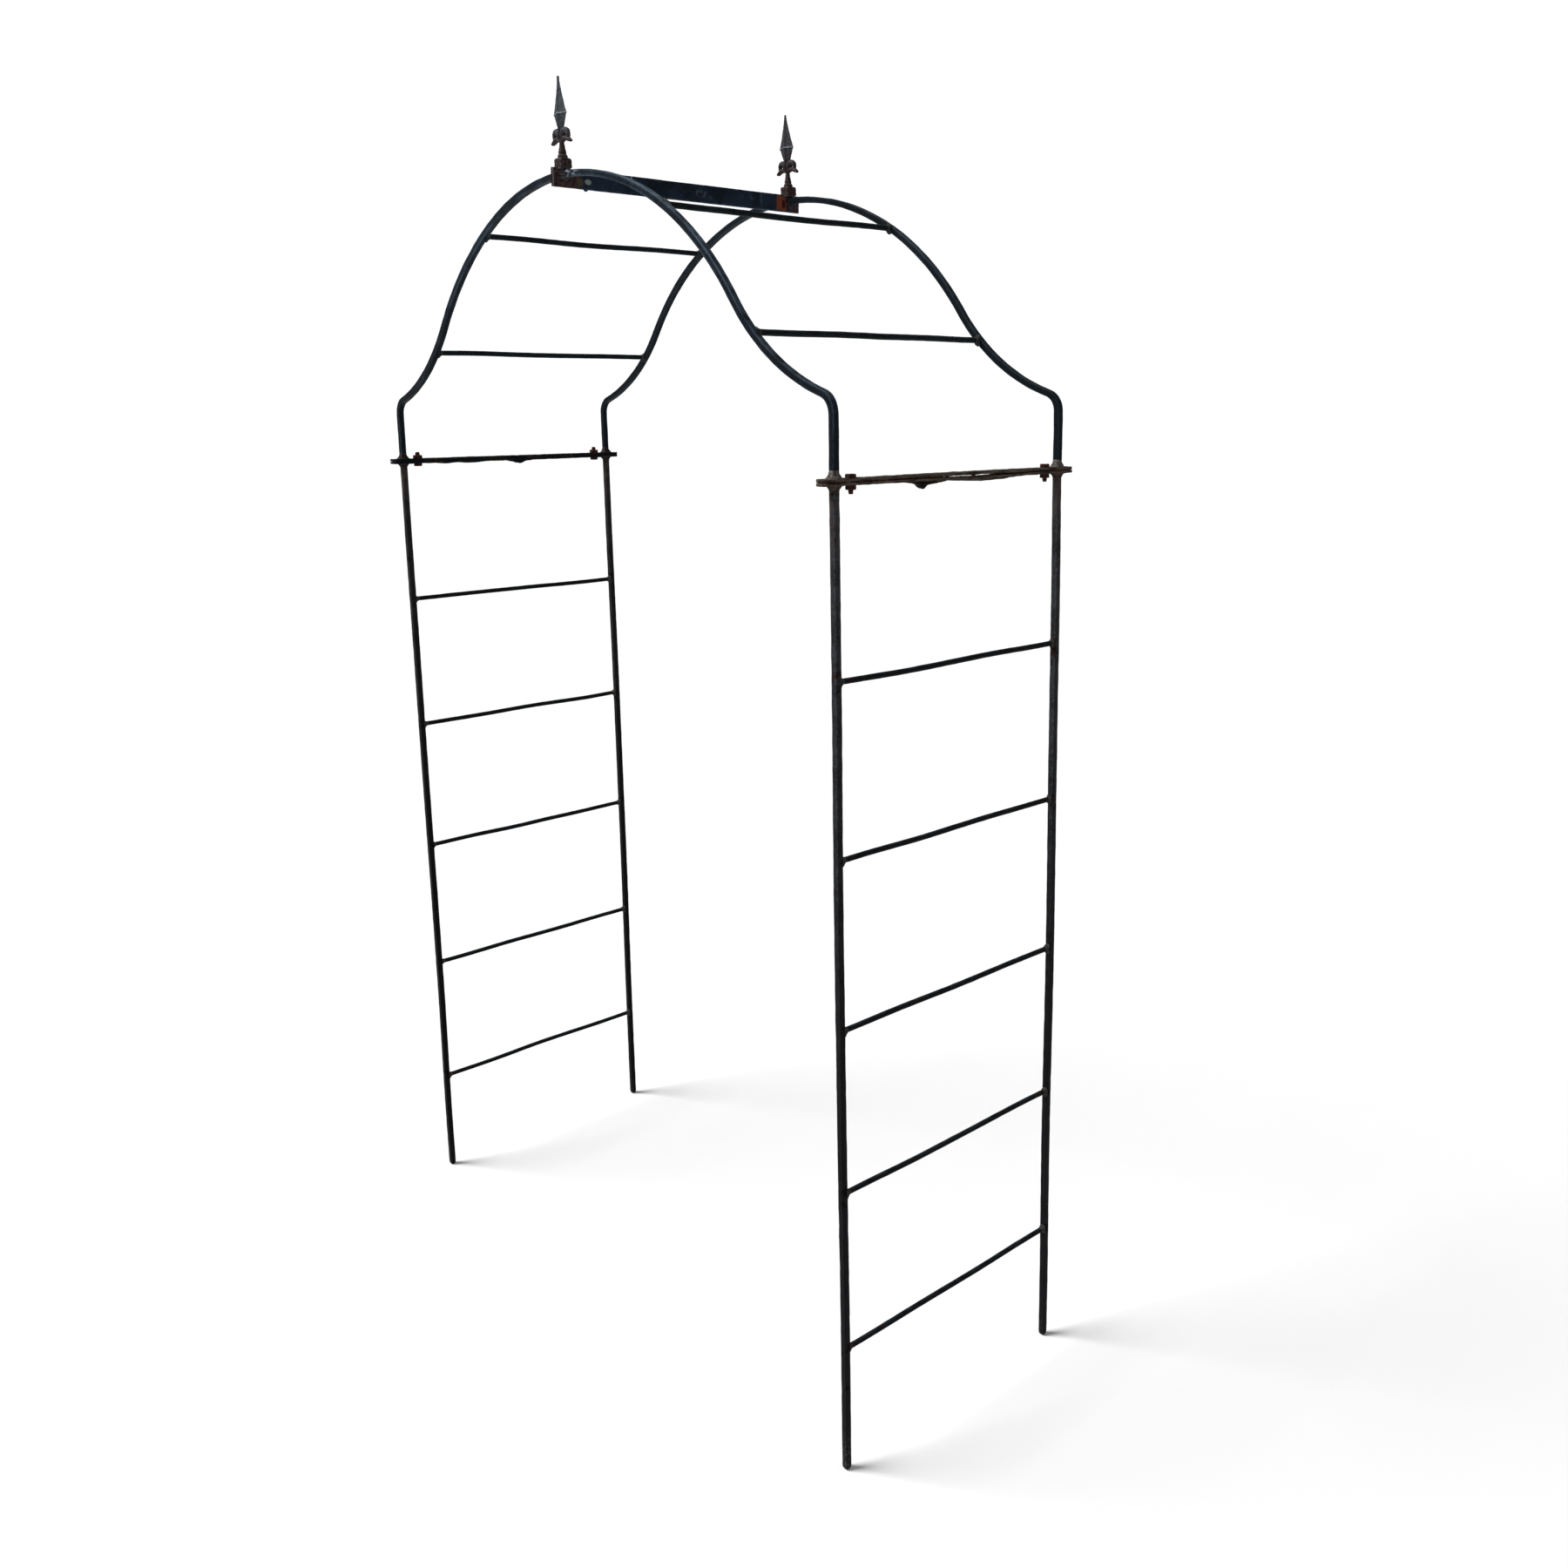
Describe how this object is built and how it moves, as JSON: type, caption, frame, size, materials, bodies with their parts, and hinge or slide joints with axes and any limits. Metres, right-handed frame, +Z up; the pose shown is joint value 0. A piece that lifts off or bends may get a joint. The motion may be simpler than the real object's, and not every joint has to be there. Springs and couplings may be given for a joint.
{
  "type": "garden trellis arch",
  "caption": "Welded steel bar garden arch with ladder side panels, an ogee top bolted to them through flat bars, a ridge bar and spear finials.",
  "frame": {"origin": "on the ground, at the middle of the walkway", "axes": "+X across the walkway from the left panel to the right one, +Y along the walkway from the front hoop to the rear one, +Z up"},
  "size_m": [1.325, 0.524, 2.1765],
  "materials": {
    "leg_paint": "worn dark paint over steel, mottled grey-brown and pitted with rust, dirty at the feet",
    "rung_paint": "worn satin blue-black paint",
    "hoop_paint": "worn satin blue-black paint with rubbed pale edges",
    "ridge_paint": "worn satin blue-black paint with rust at the ends and a few pale specks",
    "rusted_flat": "brown and olive-grey rust with the last of the paint flaking off",
    "finial_casting": "dark grey casting with purple-brown rust on its lower half",
    "rusted_fastener": "matt reddish-brown rust"
  },
  "bodies": {
    "root": {"left_front_leg": "leg_paint", "left_rear_leg": "leg_paint", "right_front_leg": "leg_paint", "right_rear_leg": "leg_paint", "left_rung_1": "rung_paint", "left_rung_2": "rung_paint", "left_rung_3": "rung_paint", "left_rung_4": "rung_paint", "left_rung_5": "rung_paint", "right_rung_1": "rung_paint", "right_rung_2": "rung_paint", "right_rung_3": "rung_paint", "right_rung_4": "rung_paint", "right_rung_5": "rung_paint", "left_panel_flat_bar": "rusted_flat", "right_panel_flat_bar": "rusted_flat", "left_arch_flat_bar": "rusted_flat", "right_arch_flat_bar": "rusted_flat", "front_left_hoop": "hoop_paint", "front_right_hoop": "hoop_paint", "rear_left_hoop": "hoop_paint", "rear_right_hoop": "hoop_paint", "left_lower_arch_rung": "rung_paint", "left_upper_arch_rung": "rung_paint", "right_lower_arch_rung": "rung_paint", "right_upper_arch_rung": "rung_paint", "ridge_bar": "ridge_paint", "front_finial": "finial_casting", "rear_finial": "finial_casting", "left_front_bolt": "rusted_fastener", "left_rear_bolt": "rusted_fastener", "right_front_bolt": "rusted_fastener", "right_rear_bolt": "rusted_fastener", "left_front_nut": "rusted_fastener", "left_rear_nut": "rusted_fastener", "right_front_nut": "rusted_fastener", "right_rear_nut": "rusted_fastener"}
  },
  "joints": []
}
